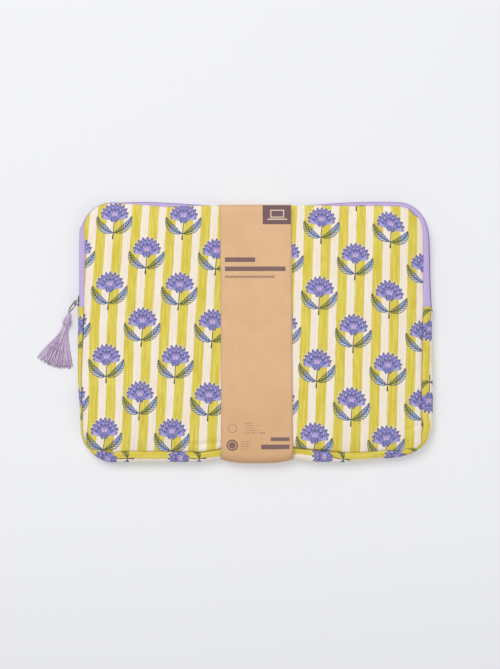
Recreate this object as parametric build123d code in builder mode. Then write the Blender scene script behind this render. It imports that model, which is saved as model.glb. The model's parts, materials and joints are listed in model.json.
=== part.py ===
from build123d import *
import os
from math import cos, radians, sin, sqrt

# A padded fabric laptop sleeve, zipped shut and lying flat on its back, in the card band
# that it is sold in. X is its width, Y runs from the bottom edge to the zipped top edge,
# and Z is its thickness. The origin is under the middle of the sleeve, on the surface
# that the band's back lies on. All sizes are in millimetres.

# ---- the sleeve
WIDTH = 360.0
HEIGHT = 260.0
THICKNESS = 18.0
CORNER_RADIUS = 34.0
SEAM_INSET = 9.0  # from the overall outline in to the seams of the two panels
EDGE_ROUND = 8.6  # rounding of the gusset between its two seams
OUTER_CLOTH = 0.6
PADDING = 3.8
LINING = 0.4
LAYER_GAP = 0.1

# ---- the card band
BAND_WIDTH = 72.0
BAND_CARD = 0.5
BAND_EASE = 0.3  # between the sleeve and the band, all round

# ---- the zip
ZIP_END_Y = 27.0  # where the zip's ends are sewn to the gusset's, at both sides
ZIP_INSET = 1.5  # how far the zip sits inside the overall outline
COIL_WIDTH = 2.8  # one row, across the zip
COIL_DEPTH = 1.8
ROW_GAP = 0.1  # from the middle plane to each row
COIL_START_Y = 31.2  # where the rows begin, just behind the slider's post

# ---- the zip slider, on the left side, facing -X
SLIDER_LENGTH = 11.0
SLIDER_WIDTH = 8.5
SLIDER_PLATE = 1.2
SLIDER_EASE = 0.3  # between the rows and each plate
SLIDER_FRONT_Y = 27.6
POST_LENGTH = 3.0
POST_WIDTH = 2.6
BRIDGE_Y = 31.5  # the middle of the bridge's eye
EYE_RADIUS = 2.0
BRIDGE_BAR = 1.0
BRIDGE_WIDTH = 2.2

# ---- the pull ring, standing on its edge beside the sleeve
RING_RADIUS = 6.4  # to the middle of the wire
RING_WIRE = 0.6  # the wire's radius
RING_HEIGHT = 6.8  # of its centre above the surface
RING_LEAN = 20.0  # of its plane from upright, in degrees
RING_HEADING = 236.0  # of its plane, away from the slider, in degrees from +X

# ---- the tassel, lying on the surface
LOOP_HEADING = 257.6
LOOP_EYE = 1.0
LOOP_CORD = 1.0
HEAD_RADIUS = 4.3
HEAD_DISTANCE = 9.3  # from the ring's far point to the middle of the head
SKIRT_HEADING = 253.5
NECK_RADIUS = 3.0
WRAP_START = 3.9  # along the tassel from the middle of the head
WRAP_LENGTH = 2.4
WRAP_HEIGHT = 3.4  # of its axis above the surface
SKIRT_LENGTH = 42.0  # from the point of the slice
SKIRT_SPREAD = 53.0
SKIRT_HEIGHT = 4.0
SKIRT_NECK = (2.0, 2.2)  # how far from the slice's point it starts, and half its width there

# ---- the fold of the front's top left corner, from the left side to the top edge
FOLD_LEFT = (-180.0, 41.0)
FOLD_TOP = (-42.0, 130.0)
FOLD_SLIT = 0.3

# ---- heights worked out from those
BOTTOM = BAND_CARD + BAND_EASE
TOP = BOTTOM + THICKNESS
MIDDLE = (BOTTOM + TOP) / 2
PADDING_DEPTH = OUTER_CLOTH + LAYER_GAP
LINING_DEPTH = PADDING_DEPTH + PADDING + LAYER_GAP
POCKET_DEPTH = LINING_DEPTH + LINING


def block(side_inset, face_inset, rounding):
    """The sleeve's outline drawn in by side_inset, as a slab face_inset inside both faces."""
    with BuildPart() as slab:
        with BuildSketch(Plane.XY.offset(BOTTOM + face_inset)):
            RectangleRounded(
                WIDTH - 2 * side_inset, HEIGHT - 2 * side_inset, CORNER_RADIUS - side_inset
            )
        extrude(amount=THICKNESS - 2 * face_inset)
        if rounding:
            fillet(slab.faces().filter_by(Axis.Z).edges(), rounding)
    return slab.part


def edge_shell(outside, inside):
    """What lies between two slabs, outside the seams of the front and back panels."""
    with BuildPart() as shell:
        add(outside)
        add(inside, mode=Mode.SUBTRACT)
        with BuildSketch(Plane.XY):
            RectangleRounded(
                WIDTH - 2 * SEAM_INSET, HEIGHT - 2 * SEAM_INSET, CORNER_RADIUS - SEAM_INSET
            )
        extrude(amount=2 * TOP, mode=Mode.SUBTRACT)
    return shell.part


def gusset_layer(depth, thickness):
    """One layer of the gusset, a trough that runs down one side, along the bottom and up."""
    ring = edge_shell(
        block(depth, depth, EDGE_ROUND - depth),
        block(depth + thickness, depth + thickness, EDGE_ROUND - depth - thickness),
    )
    with BuildPart() as layer:
        add(ring)
        split(bisect_by=Plane.XZ.offset(-ZIP_END_Y), keep=Keep.TOP)
    return layer.part


def panel_layer(low, high):
    """One layer of a panel, inside the seams, between two heights."""
    inset = SEAM_INSET + LAYER_GAP
    with BuildPart() as layer:
        with BuildSketch(Plane.XY.offset(low)):
            RectangleRounded(WIDTH - 2 * inset, HEIGHT - 2 * inset, CORNER_RADIUS - inset)
        extrude(amount=high - low)
    return layer.part


def above_zip_ends(whole, low, high, start=ZIP_END_Y + LAYER_GAP):
    """The stretch of an edge ring that the zip has, between two heights."""
    with BuildPart() as stretch:
        add(whole)
        with Locations((0, start + HEIGHT / 2, (low + high) / 2)):
            Box(2 * WIDTH, HEIGHT, high - low, mode=Mode.INTERSECT)
    return stretch.part


# The upright plane of the corner's fold. Its normal points into the corner.
fold_run = Vector(FOLD_TOP[0] - FOLD_LEFT[0], FOLD_TOP[1] - FOLD_LEFT[1], 0).normalized()
fold_plane = Plane(
    origin=(FOLD_LEFT[0], FOLD_LEFT[1], TOP),
    x_dir=fold_run,
    z_dir=(-fold_run.Y, fold_run.X, 0),
)


def main_side(whole):
    """What the fold leaves on the main part of the front."""
    with BuildPart() as rest:
        add(whole)
        split(bisect_by=fold_plane.offset(-FOLD_SLIT / 2), keep=Keep.BOTTOM)
    return rest.part


def corner_side(whole):
    """What the fold takes with the corner."""
    with BuildPart() as corner:
        add(whole)
        split(bisect_by=fold_plane.offset(FOLD_SLIT / 2), keep=Keep.TOP)
    return corner.part


# ---- the back, three layers from the outside in
with BuildPart() as back_panel:
    add(panel_layer(BOTTOM, BOTTOM + OUTER_CLOTH))

with BuildPart() as back_padding:
    add(panel_layer(BOTTOM + PADDING_DEPTH, BOTTOM + PADDING_DEPTH + PADDING))

with BuildPart() as back_lining:
    add(panel_layer(BOTTOM + LINING_DEPTH, BOTTOM + POCKET_DEPTH))

# ---- the front, the same three layers, each in two parts that meet at the corner's fold
front_cloth = panel_layer(TOP - OUTER_CLOTH, TOP)
front_foam = panel_layer(TOP - PADDING_DEPTH - PADDING, TOP - PADDING_DEPTH)
front_inside = panel_layer(TOP - POCKET_DEPTH, TOP - LINING_DEPTH)

with BuildPart() as front_panel:
    add(main_side(front_cloth))

with BuildPart() as front_padding:
    add(main_side(front_foam))

with BuildPart() as front_lining:
    add(main_side(front_inside))

with BuildPart() as front_panel_corner:
    add(corner_side(front_cloth))

with BuildPart() as front_padding_corner:
    add(corner_side(front_foam))

with BuildPart() as front_lining_corner:
    add(corner_side(front_inside))

# ---- the gusset, one strip round both lower sides and the bottom
with BuildPart() as gusset_panel:
    add(gusset_layer(0.0, OUTER_CLOTH))

with BuildPart() as gusset_padding:
    add(gusset_layer(PADDING_DEPTH, PADDING))

with BuildPart() as gusset_lining:
    add(gusset_layer(LINING_DEPTH, LINING))

# ---- the zip: a tape from each seam to its row of coil, and the two rows side by side
tape_round = SEAM_INSET - ZIP_INSET - 0.4
tape_edge = ROW_GAP + COIL_WIDTH + LAYER_GAP
tape_ring = edge_shell(
    block(ZIP_INSET, 0.0, tape_round),
    block(ZIP_INSET + OUTER_CLOTH, OUTER_CLOTH, tape_round - OUTER_CLOTH),
)
coil_ring = edge_shell(
    block(ZIP_INSET + LAYER_GAP, 0.0, 0.0), block(ZIP_INSET + LAYER_GAP + COIL_DEPTH, 0.0, 0.0)
)
front_tape = above_zip_ends(tape_ring, MIDDLE + tape_edge, 2 * TOP)
front_coil = above_zip_ends(coil_ring, MIDDLE + ROW_GAP, MIDDLE + ROW_GAP + COIL_WIDTH, COIL_START_Y)

with BuildPart() as zip_tape_back:
    add(above_zip_ends(tape_ring, -TOP, MIDDLE - tape_edge))

with BuildPart() as zip_coil_back:
    add(
        above_zip_ends(
            coil_ring, MIDDLE - ROW_GAP - COIL_WIDTH, MIDDLE - ROW_GAP, COIL_START_Y
        )
    )

with BuildPart() as zip_tape_front:
    add(main_side(front_tape))

with BuildPart() as zip_coil_front:
    add(main_side(front_coil))

with BuildPart() as zip_tape_front_corner:
    add(corner_side(front_tape))

with BuildPart() as zip_coil_front_corner:
    add(corner_side(front_coil))

# ---- the slider: an outer and an inner plate, joined by a post at the closing end,
# with a bridge along the outer plate
row_face_x = -WIDTH / 2 + ZIP_INSET + LAYER_GAP
outer_plate_x = row_face_x - SLIDER_EASE
inner_plate_x = row_face_x + COIL_DEPTH + SLIDER_EASE
slider_face_x = outer_plate_x - SLIDER_PLATE
eye_x = slider_face_x - EYE_RADIUS

with BuildPart() as slider_body:
    with BuildSketch(Plane.YZ.offset(slider_face_x)):
        with Locations((SLIDER_FRONT_Y + SLIDER_LENGTH / 2, MIDDLE)):
            RectangleRounded(SLIDER_LENGTH, SLIDER_WIDTH, SLIDER_WIDTH / 4)
    extrude(amount=SLIDER_PLATE)
    with BuildSketch(Plane.YZ.offset(inner_plate_x)):
        with Locations((SLIDER_FRONT_Y + SLIDER_LENGTH / 2, MIDDLE)):
            RectangleRounded(SLIDER_LENGTH, SLIDER_WIDTH, SLIDER_WIDTH / 4)
    extrude(amount=SLIDER_PLATE)
    with BuildSketch(Plane.YZ.offset(slider_face_x)):
        with Locations((SLIDER_FRONT_Y + POST_LENGTH / 2, MIDDLE)):
            Rectangle(POST_LENGTH, POST_WIDTH)
    extrude(amount=inner_plate_x + SLIDER_PLATE - slider_face_x)
    with BuildSketch(Plane.XY.offset(MIDDLE - BRIDGE_WIDTH / 2)):
        with Locations((eye_x, BRIDGE_Y)):
            Circle(EYE_RADIUS + BRIDGE_BAR)
        with Locations(((eye_x + slider_face_x) / 2, BRIDGE_Y)):
            Rectangle(slider_face_x - eye_x, 2 * (EYE_RADIUS + BRIDGE_BAR))
        with Locations((slider_face_x + EYE_RADIUS, BRIDGE_Y)):
            Rectangle(2 * EYE_RADIUS, 4 * EYE_RADIUS, mode=Mode.SUBTRACT)
        with Locations((eye_x, BRIDGE_Y)):
            Circle(EYE_RADIUS, mode=Mode.SUBTRACT)
        with Locations(((eye_x + slider_face_x) / 2, BRIDGE_Y)):
            Rectangle(slider_face_x - eye_x, 2 * EYE_RADIUS, mode=Mode.SUBTRACT)
    extrude(amount=BRIDGE_WIDTH)

# ---- the pull ring. Its plane holds its heading and a line that leans from upright, and
# the wire passes through the middle of the bridge's eye.
eye_rise = (MIDDLE - RING_HEIGHT) / cos(radians(RING_LEAN))
eye_reach = sqrt(RING_RADIUS**2 - eye_rise**2)
heading = Vector(cos(radians(RING_HEADING)), sin(radians(RING_HEADING)), 0)
across = Vector(-heading.Y, heading.X, 0)
lean = Vector(0, 0, 1) * cos(radians(RING_LEAN)) + across * sin(radians(RING_LEAN))
ring_centre = Vector(eye_x, BRIDGE_Y, MIDDLE) + heading * eye_reach - lean * eye_rise
ring_plane = Plane(origin=ring_centre, x_dir=heading, z_dir=heading.cross(lean))
far_point = ring_centre + heading * RING_RADIUS

with BuildPart() as pull_ring:
    with BuildSketch(Plane(origin=far_point, x_dir=heading, z_dir=lean)):
        Circle(RING_WIRE)
    revolve(axis=Axis(ring_centre, heading.cross(lean)))

# ---- the tassel: a flat loop round the ring's wire, a ball-shaped head, a wrapped neck
# and a spread skirt
loop_way = Vector(cos(radians(LOOP_HEADING)), sin(radians(LOOP_HEADING)), 0)
skirt_way = Vector(cos(radians(SKIRT_HEADING)), sin(radians(SKIRT_HEADING)), 0)
head_centre = far_point + loop_way * HEAD_DISTANCE
head_centre = Vector(head_centre.X, head_centre.Y, HEAD_RADIUS)
loop_plane = Plane(origin=far_point - Vector(0, 0, LOOP_CORD / 2), x_dir=loop_way, z_dir=(0, 0, 1))

with BuildPart() as tassel_loop:
    with BuildSketch(loop_plane):
        with Locations((HEAD_DISTANCE / 2, 0)):
            SlotCenterToCenter(HEAD_DISTANCE, 2 * (LOOP_EYE + LOOP_CORD))
            SlotCenterToCenter(HEAD_DISTANCE, 2 * LOOP_EYE, mode=Mode.SUBTRACT)
    extrude(amount=LOOP_CORD)
    with Locations(head_centre):
        Sphere(HEAD_RADIUS + LAYER_GAP, mode=Mode.SUBTRACT)
    with Locations(far_point + loop_way * (HEAD_DISTANCE + HEAD_RADIUS)):
        Box(2 * HEAD_RADIUS, 4 * HEAD_RADIUS, 4 * HEAD_RADIUS, mode=Mode.SUBTRACT)

neck_centre = Vector(head_centre.X, head_centre.Y, WRAP_HEIGHT)
wrap_plane = Plane(origin=neck_centre + skirt_way * WRAP_START, x_dir=(0, 0, 1), z_dir=skirt_way)

with BuildPart() as tassel_head:
    with Locations(head_centre):
        Sphere(HEAD_RADIUS)
    split(bisect_by=wrap_plane.offset(-LAYER_GAP), keep=Keep.BOTTOM)

with BuildPart() as tassel_wrap:
    with BuildSketch(wrap_plane):
        Circle(NECK_RADIUS)
    extrude(amount=WRAP_LENGTH)
    fillet(tassel_wrap.edges(), NECK_RADIUS / 6)

# The skirt is a slice of a disc whose point lies inside the wrap.
neck_reach, neck_side = SKIRT_NECK
skirt_point = neck_centre + skirt_way * (WRAP_START + WRAP_LENGTH + LAYER_GAP - neck_reach)
skirt_plane = Plane(
    origin=(skirt_point.X, skirt_point.Y, 0), x_dir=skirt_way, z_dir=(0, 0, 1)
)
tip_reach = SKIRT_LENGTH * cos(radians(SKIRT_SPREAD / 2))
tip_side = SKIRT_LENGTH * sin(radians(SKIRT_SPREAD / 2))

with BuildPart() as tassel_skirt:
    with BuildSketch(skirt_plane):
        with BuildLine():
            Polyline(
                (tip_reach, -tip_side),
                (neck_reach, -neck_side),
                (neck_reach, neck_side),
                (tip_reach, tip_side),
            )
            ThreePointArc((tip_reach, tip_side), (SKIRT_LENGTH, 0), (tip_reach, -tip_side))
        make_face()
    extrude(amount=SKIRT_HEIGHT)
    fillet(tassel_skirt.faces().sort_by(Axis.Z)[-1].edges(), SKIRT_HEIGHT / 4)

# ---- the card band, a closed loop round the sleeve from top to bottom
with BuildPart() as kraft_band:
    with BuildSketch(Plane.YZ.offset(-BAND_WIDTH / 2)):
        with Locations((0, MIDDLE)):
            RectangleRounded(
                HEIGHT + 2 * (BAND_EASE + BAND_CARD),
                THICKNESS + 2 * (BAND_EASE + BAND_CARD),
                EDGE_ROUND + BAND_EASE + BAND_CARD,
            )
            RectangleRounded(
                HEIGHT + 2 * BAND_EASE,
                THICKNESS + 2 * BAND_EASE,
                EDGE_ROUND + BAND_EASE,
                mode=Mode.SUBTRACT,
            )
    extrude(amount=BAND_WIDTH)

# ---- every piece in a file of its own
PIECES = {
    "back_panel": back_panel,
    "back_padding": back_padding,
    "back_lining": back_lining,
    "front_panel": front_panel,
    "front_padding": front_padding,
    "front_lining": front_lining,
    "gusset_panel": gusset_panel,
    "gusset_padding": gusset_padding,
    "gusset_lining": gusset_lining,
    "zip_tape_back": zip_tape_back,
    "zip_tape_front": zip_tape_front,
    "zip_coil_back": zip_coil_back,
    "zip_coil_front": zip_coil_front,
    "front_panel_corner": front_panel_corner,
    "front_padding_corner": front_padding_corner,
    "front_lining_corner": front_lining_corner,
    "zip_tape_front_corner": zip_tape_front_corner,
    "zip_coil_front_corner": zip_coil_front_corner,
    "slider_body": slider_body,
    "pull_ring": pull_ring,
    "tassel_loop": tassel_loop,
    "tassel_head": tassel_head,
    "tassel_wrap": tassel_wrap,
    "tassel_skirt": tassel_skirt,
    "kraft_band": kraft_band,
}

os.makedirs("parts", exist_ok=True)
for name, piece in PIECES.items():
    piece.part.label = name
    export_step(piece.part, f"parts/{name}.step")
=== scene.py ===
import json
import math

import bpy
import numpy as np
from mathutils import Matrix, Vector


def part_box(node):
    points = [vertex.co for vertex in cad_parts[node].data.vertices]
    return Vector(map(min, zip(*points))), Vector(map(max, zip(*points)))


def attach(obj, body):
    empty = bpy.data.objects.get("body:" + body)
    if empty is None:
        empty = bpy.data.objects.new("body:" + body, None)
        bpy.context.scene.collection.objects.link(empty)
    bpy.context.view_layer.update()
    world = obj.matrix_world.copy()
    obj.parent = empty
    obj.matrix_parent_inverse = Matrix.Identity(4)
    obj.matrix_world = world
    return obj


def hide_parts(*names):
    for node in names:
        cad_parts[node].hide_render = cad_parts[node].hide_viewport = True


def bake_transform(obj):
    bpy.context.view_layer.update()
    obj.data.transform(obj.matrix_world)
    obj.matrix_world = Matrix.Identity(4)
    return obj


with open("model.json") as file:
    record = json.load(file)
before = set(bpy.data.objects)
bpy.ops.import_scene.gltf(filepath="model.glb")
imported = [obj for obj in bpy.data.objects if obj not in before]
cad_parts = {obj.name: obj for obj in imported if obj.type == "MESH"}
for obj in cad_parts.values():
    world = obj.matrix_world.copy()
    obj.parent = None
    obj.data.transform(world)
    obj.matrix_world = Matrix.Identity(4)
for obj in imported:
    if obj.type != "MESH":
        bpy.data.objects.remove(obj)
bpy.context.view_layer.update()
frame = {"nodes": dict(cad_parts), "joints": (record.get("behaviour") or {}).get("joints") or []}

# A padded laptop sleeve lying flat on its back, zipped shut, in its card band. The frame is
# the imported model's: X across, Y from the bottom edge to the zipped top edge, Z up.
# Lengths are in metres, and MM turns millimetres into them.

MM = 0.001

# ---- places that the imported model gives
gusset_low, gusset_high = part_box("gusset_panel")
HALF_WIDTH = gusset_high.x
HALF_HEIGHT = -gusset_low.y
ZIP_END = gusset_high.y
MIDDLE = (gusset_low.z + gusset_high.z) / 2
band_low, band_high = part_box("kraft_band")
BAND_HALF = band_high.x
joints = {j["name"]: j for j in frame["joints"]}
eye = Vector(joints["pull_swing"]["pos_m"])  # of the slider's bridge


def smoothstep(low, high, x):
    """0 on the far side of low, 1 beyond high, smooth between. Either may be the larger."""
    t = np.clip((np.asarray(x, float) - low) / (high - low), 0, 1)
    return t * t * (3 - 2 * t)


def waves(x, lengths, seed):
    """A sum of sines of the given wavelengths, one for each, with fixed random phases."""
    phases = np.random.default_rng(seed).uniform(0, 2 * math.pi, len(lengths))
    return sum(np.sin(2 * math.pi * x / n + p) for n, p in zip(lengths, phases)) / len(lengths)


def distances_along(path):
    """The distance of each point of a path from its start."""
    return np.concatenate([[0], np.cumsum(np.linalg.norm(np.diff(path, axis=0), axis=1))])


def rows_apart(grid):
    """How far each point of a grid is from the first row, measured over the rows between."""
    return np.cumsum(np.linalg.norm(np.diff(grid, axis=0, prepend=grid[:1]), axis=2), axis=0)


def put_in_scene(name, data):
    """A new object of some data, linked to the scene."""
    item = bpy.data.objects.new(name, data)
    bpy.context.scene.collection.objects.link(item)
    return item


# ============================================================ node arithmetic


class Term:
    """A number in a material's nodes, which ordinary arithmetic works on."""

    def __init__(self, graph, socket):
        self.graph, self.socket = graph, socket

    def does(operation):
        """A method that joins two numbers by one operation."""
        return lambda self, other: self.graph.math(operation, self, other)

    __add__ = __radd__ = does("ADD")
    __sub__ = does("SUBTRACT")
    __mul__ = __rmul__ = does("MULTIPLY")
    __truediv__ = does("DIVIDE")
    __pow__ = does("POWER")

    def __rsub__(self, other):
        return self.graph.math("SUBTRACT", other, self)

    def __abs__(self):
        return self.graph.math("ABSOLUTE", self)


def srgb(red, green, blue):
    """A colour given as 0 to 255, as the linear colour that sockets hold."""
    def linear(v):
        v /= 255
        return v / 12.92 if v <= 0.04045 else ((v + 0.055) / 1.055) ** 2.4
    return (linear(red), linear(green), linear(blue), 1.0)


class Graph:
    """A material and short ways to add nodes to it."""

    def __init__(self, name, **settings):
        self.material = bpy.data.materials.new(name)
        self.material.use_nodes = True
        self.tree = self.material.node_tree
        self.bsdf = self.tree.nodes["Principled BSDF"]
        for socket, value in settings.items():
            self.bsdf.inputs[socket.replace("_", " ")].default_value = value

    def put(self, value, socket):
        """Sets a socket, or links it when value is a term or a socket."""
        if isinstance(value, Term):
            value = value.socket
        if isinstance(value, bpy.types.NodeSocket):
            self.tree.links.new(value, socket)
        else:
            socket.default_value = value

    def math(self, operation, *values):
        node = self.tree.nodes.new("ShaderNodeMath")
        node.operation = operation
        for value, socket in zip(values, node.inputs):
            self.put(value, socket)
        return Term(self, node.outputs[0])

    def least(self, first, *others):
        """The smallest of some values."""
        for other in others:
            first = self.math("MINIMUM", first, other)
        return first

    def most(self, first, *others):
        """The largest of some values."""
        for other in others:
            first = self.math("MAXIMUM", first, other)
        return first

    def radius(self, x, y):
        """The distance of (x, y) from the origin."""
        return self.math("SQRT", x * x + y * y)

    def wrap(self, value, half):
        return self.math("WRAP", value, half, -half)

    def ramp(self, value, low, high):
        """A smooth step from 0 at low to 1 at high."""
        node = self.tree.nodes.new("ShaderNodeMapRange")
        node.interpolation_type = "SMOOTHSTEP"
        for item, socket in zip((value, low, high, 0.0, 1.0), node.inputs):
            self.put(item, socket)
        return Term(self, node.outputs[0])

    def mix(self, factor, first, second):
        node = self.tree.nodes.new("ShaderNodeMix")
        node.data_type = "RGBA"
        self.put(factor, node.inputs["Factor"])
        self.put(first, node.inputs[6])
        self.put(second, node.inputs[7])
        return node.outputs[2]

    def choose(self, factor, first, second):
        """first where factor is 0, second where it is 1."""
        return first + (second - first) * factor

    def split(self, vector):
        """A vector's three parts, turned from metres into millimetres."""
        node = self.tree.nodes.new("ShaderNodeSeparateXYZ")
        self.tree.links.new(vector, node.inputs[0])
        return [Term(self, output) / MM for output in node.outputs]

    def surface(self):
        """The two coordinates of the UV layer cloth, in millimetres."""
        node = self.tree.nodes.new("ShaderNodeUVMap")
        node.uv_map = "cloth"
        return self.split(node.outputs[0])[:2]

    def position(self):
        """The three coordinates in the scene, in millimetres."""
        return self.split(self.tree.nodes.new("ShaderNodeNewGeometry").outputs["Position"])

    def noise(self, x, y, scale, detail=2.0, roughness=0.5):
        """Noise around 0.5 at a point of the plane, with scale in cells for each unit."""
        join = self.tree.nodes.new("ShaderNodeCombineXYZ")
        self.put(x, join.inputs[0])
        self.put(y, join.inputs[1])
        node = self.tree.nodes.new("ShaderNodeTexNoise")
        node.noise_dimensions = "2D"
        self.tree.links.new(join.outputs[0], node.inputs["Vector"])
        node.inputs["Scale"].default_value = scale
        node.inputs["Detail"].default_value = detail
        node.inputs["Roughness"].default_value = roughness
        return Term(self, node.outputs["Fac"])

    def finish(self, colour=None, height=None, depth=0.1 * MM, roughness=None):
        """Links the colour, the bump of depth metres for each unit of height, and the roughness."""
        if colour is not None:
            self.put(colour, self.bsdf.inputs["Base Color"])
        if roughness is not None:
            self.put(roughness, self.bsdf.inputs["Roughness"])
        if height is not None:
            bump = self.tree.nodes.new("ShaderNodeBump")
            bump.inputs["Strength"].default_value = 1.0
            bump.inputs["Distance"].default_value = depth
            self.put(height, bump.inputs["Height"])
            self.tree.links.new(bump.outputs[0], self.bsdf.inputs["Normal"])
        return self.material


# ============================================================ the printed cotton

PERIOD_ACROSS = 71.3  # of the sprigs, across the stripes, in millimetres
PERIOD_ALONG = 70.9
STRIPE = PERIOD_ACROSS / 4
YELLOW_SHARE = 0.555  # of a stripe's period
SPRIG_ACROSS = -8.7  # the place of one bloom on the cloth
SPRIG_ALONG = 120.3
SPRIG_MIDDLE = 7.5  # how far a sprig's middle is below its bloom's
PRINT_EDGE = 0.012  # of a stripe's period, over which its colour fades
THREAD_PITCH = 0.62  # of the weave


def sprig_place(g, x, y):
    """Where a point lies from the bloom of the nearest sprig of the half-drop lattice."""
    half_x, half_y = PERIOD_ACROSS / 2, PERIOD_ALONG / 2
    x, y = x - SPRIG_ACROSS, y - (SPRIG_ALONG - SPRIG_MIDDLE)
    near = [(g.wrap(x, half_x), g.wrap(y, half_y))]
    near.append((g.wrap(x - half_x, half_x), g.wrap(y - half_y, half_y)))
    away = [a * a + b * b for a, b in near]
    second = g.math("LESS_THAN", away[1], away[0])
    return (
        g.choose(second, near[0][0], near[1][0]),
        g.choose(second, near[0][1], near[1][1]) - SPRIG_MIDDLE,
    )


def polar(g, x, y, base_y):
    """(angle from straight up, distance) of a point seen from (0, base_y)."""
    up = y - base_y
    return g.math("ARCTAN2", x, up), g.radius(x, up)


def fan(g, place, step, shift, spread, tip, root, width, shorten):
    """One row of pointed petals round a point, which get shorter to the sides: how deep inside
    a petal a point is, how far along it is, and how far it is from the petal's middle line."""
    angle, reach = place
    index = g.math("ROUND", angle / step - shift) + shift
    lean = index * step
    side = abs(angle - lean) * reach
    length = tip - lean * lean * (tip * shorten)
    along = g.least(g.most((reach - root) / (length - root), 0.0), 1.0)
    half = g.math("SQRT", along) * (1.0 - along * along) * width
    kept = g.math("LESS_THAN", abs(lean), spread)
    inside = g.least(half - side, length - reach, reach - root)
    return g.choose(kept, -3.0, inside), along, side


def bloom(g, x, y, ground, speckle):
    """The flower: rows of petals from the back one to the heart, with its sepals and calyx."""
    petals, sepals, calyx = (polar(g, x, y, base) for base in (-9.2, -5.6, -7.8))
    dark, tips = srgb(54, 58, 120), srgb(90, 94, 172)
    blue, violet = srgb(114, 120, 198), srgb(156, 146, 214)
    lilac, pink = srgb(182, 172, 226), srgb(200, 172, 216)
    colour = ground
    rows = [  # where, step, shift, spread, tip, root, width, shorten, fill
        (petals, 0.255, 0.0, 1.15, 20.2, 7.5, 5.0, 0.14, violet),
        (petals, 0.275, 0.5, 1.30, 17.2, 6.0, 4.9, 0.09, lilac),
        (sepals, 0.560, 0.5, 3.00, 6.0, 0.6, 3.5, 0.01, blue),
        (petals, 0.310, 0.0, 1.20, 14.2, 3.5, 4.6, 0.08, violet),
        (petals, 0.360, 0.5, 0.95, 12.2, 2.0, 4.6, 0.12, blue),
        (petals, 0.440, 0.5, 0.30, 13.6, 0.6, 5.4, 0.00, lilac),
        (petals, 0.900, 0.0, 0.20, 12.6, 0.0, 6.2, 0.00, pink),
        (calyx, 0.700, 0.5, 3.00, 4.0, 0.4, 3.0, 0.02, blue),
    ]
    for row in rows:
        inside, along, side = fan(g, *row[:-1])
        if row is rows[0]:
            halo = g.ramp(inside, -0.8, -0.3)
            colour = g.mix(halo * 0.6, colour, srgb(251, 243, 232))
        body = g.mix(speckle, row[-1], srgb(214, 204, 234))
        body = g.mix(g.ramp(along, 0.56, 0.94) * 0.75, body, tips)
        body = g.mix((1.0 - g.ramp(side, 0.12, 0.36)) * 0.5, body, dark)
        petal = g.mix(g.ramp(inside, 0.32, 0.64), dark, body)
        colour = g.mix(g.ramp(inside, 0.0, 0.16), colour, petal)
    return colour


def leaves(g, x, y, ground, speckle):
    """The two leaves, which curve up from the stem along a circle round the flower. The cloth
    shows through them in places."""
    ink = srgb(58, 66, 78)
    out = abs(x) + 0.6
    turn = g.math("ARCTAN2", out, 0.0 - y)
    radius = g.radius(out, y)
    along = g.least(g.most((turn - 0.04) / 1.32, 0.0), 1.0)
    half = (g.math("SINE", along * math.pi) ** 0.75) * (4.4 - along * 0.8)
    off = radius - 21.0 + along * 2.2
    inside = g.least(half - abs(off), (1.37 - turn) * 20.0)
    ribs = abs(g.wrap(turn * 15.0 - abs(off) * 0.85, 1.0))
    right = g.math("GREATER_THAN", x, 0.0)
    blueness = g.choose(right, 1.0 - along, along)
    fill = g.mix(g.ramp(blueness, 0.35, 0.62), srgb(106, 124, 70), srgb(92, 116, 186))
    pale = g.mix(g.ramp(blueness, 0.35, 0.7), ground, srgb(226, 232, 240))
    outer = g.ramp(off, 0.4, 2.2)
    fill = g.mix(g.ramp(ribs, 0.3, 0.65) * (0.3 + 0.5 * speckle) + outer * 0.25, fill, pale)
    fill = g.mix((1.0 - g.ramp(ribs, 0.10, 0.26)) * 0.75, fill, ink)
    fill = g.mix((1.0 - g.ramp(abs(off), 0.2, 0.6)) * 0.9, fill, ink)
    fill = g.mix(1.0 - g.ramp(inside, 0.30, 0.60), fill, ink)
    return g.mix(g.ramp(inside, 0.0, 0.15), ground, fill)


def stem(g, x, y, ground):
    """The stem, from under the flower to a slightly thicker tail."""
    sway = (y + 22.0) * 0.03
    half = 0.48 + g.ramp(y, -20.0, -27.0) * 0.35
    inside = half - abs(x - sway)
    there = g.ramp(y, -28.0, -27.2) * g.ramp(y, -8.0, -9.0)
    return g.mix(g.ramp(inside, 0.0, 0.2) * there, ground, srgb(70, 72, 70))


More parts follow.
